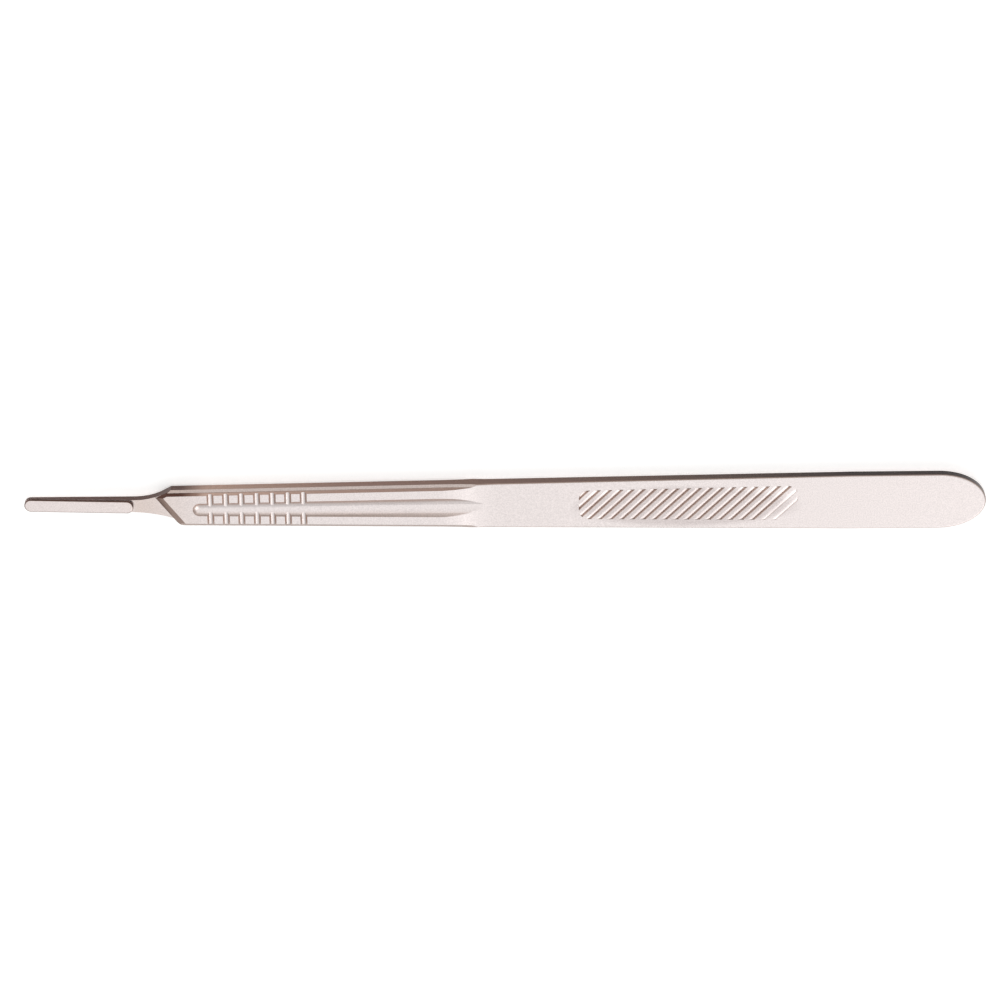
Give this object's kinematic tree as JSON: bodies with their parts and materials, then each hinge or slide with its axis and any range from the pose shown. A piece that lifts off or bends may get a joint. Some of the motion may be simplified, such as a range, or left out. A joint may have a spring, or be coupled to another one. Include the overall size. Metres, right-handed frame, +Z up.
{
  "type": "scalpel handle",
  "caption": "Long flat stainless steel scalpel handle with a slide-on blade fitting, grooved finger rails and a slanted grip pad.",
  "frame": {"origin": "middle of the handle's box on the plane it lies on", "axes": "+X along the handle from the blade end to the butt, +Y towards the blade's back, +Z up out of the upper face"},
  "size_m": [0.21, 0.0132, 0.0045],
  "materials": {
    "satin_steel": "satin"
  },
  "bodies": {
    "root": {"scalpel_handle": "satin_steel"}
  },
  "joints": []
}
